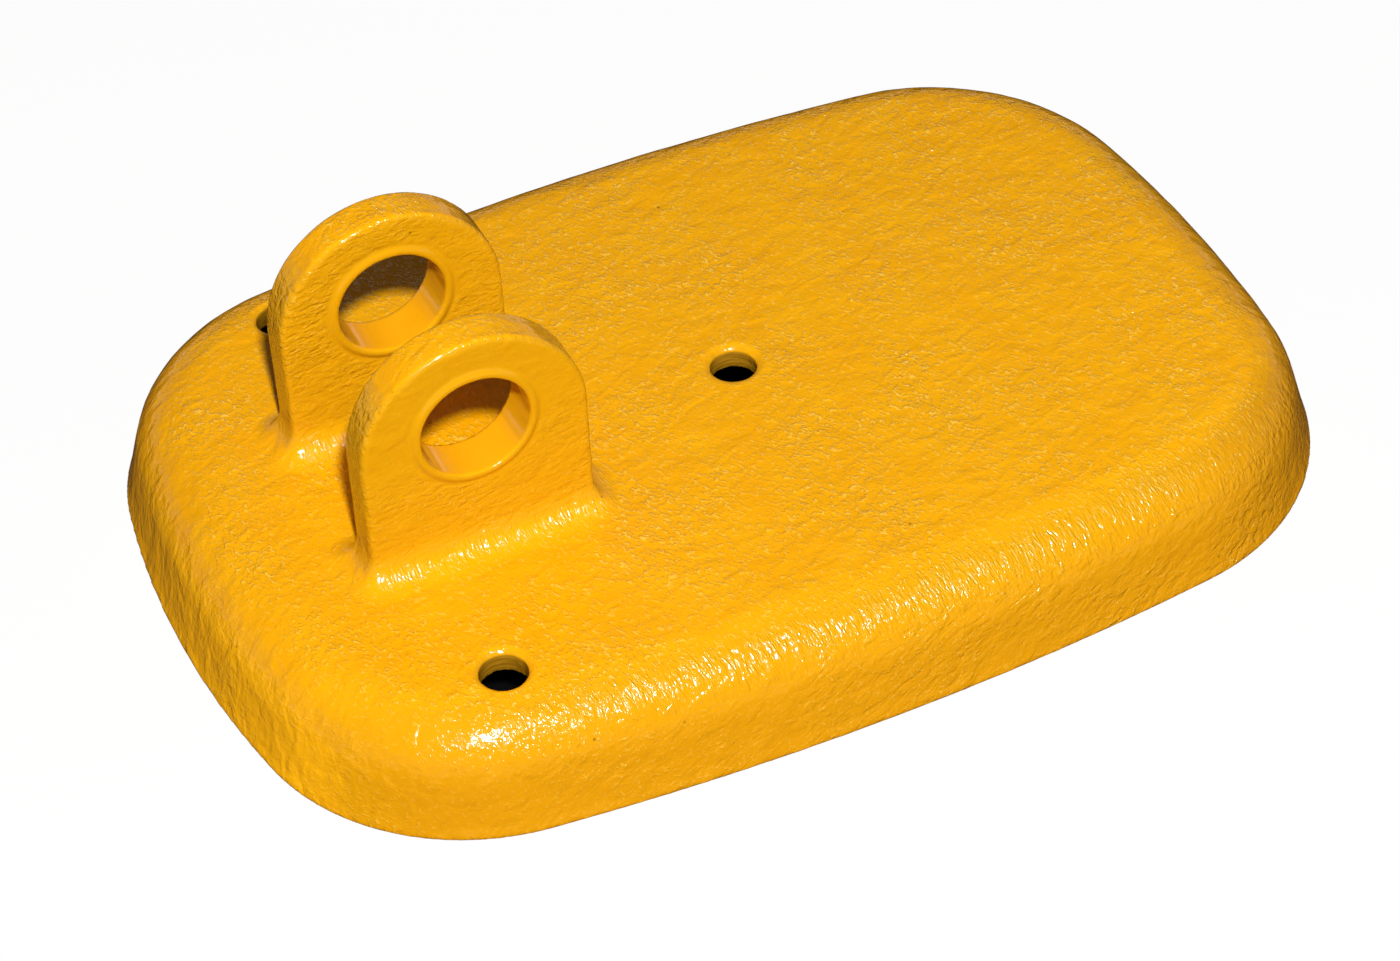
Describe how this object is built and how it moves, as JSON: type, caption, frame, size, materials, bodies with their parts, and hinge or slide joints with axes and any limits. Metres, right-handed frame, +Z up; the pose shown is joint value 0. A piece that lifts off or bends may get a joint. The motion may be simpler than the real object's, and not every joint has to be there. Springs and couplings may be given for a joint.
{
  "type": "outrigger ground shoe",
  "caption": "Dished cast ground shoe for a stabiliser leg: a rounded oblong pad with upright clevis ears for a cross pin and bolt holes through its top plate.",
  "frame": {"origin": "centre of the pad's plan, at the height of the rim that it stands on", "axes": "+X along the pad's length, away from the ears; +Y along the pin bore; +Z up, square to the top plate"},
  "size_m": [0.5224, 0.3694, 0.165],
  "materials": {
    "enamel": "gloss"
  },
  "bodies": {
    "root": {"shoe_casting": "enamel"}
  },
  "joints": []
}
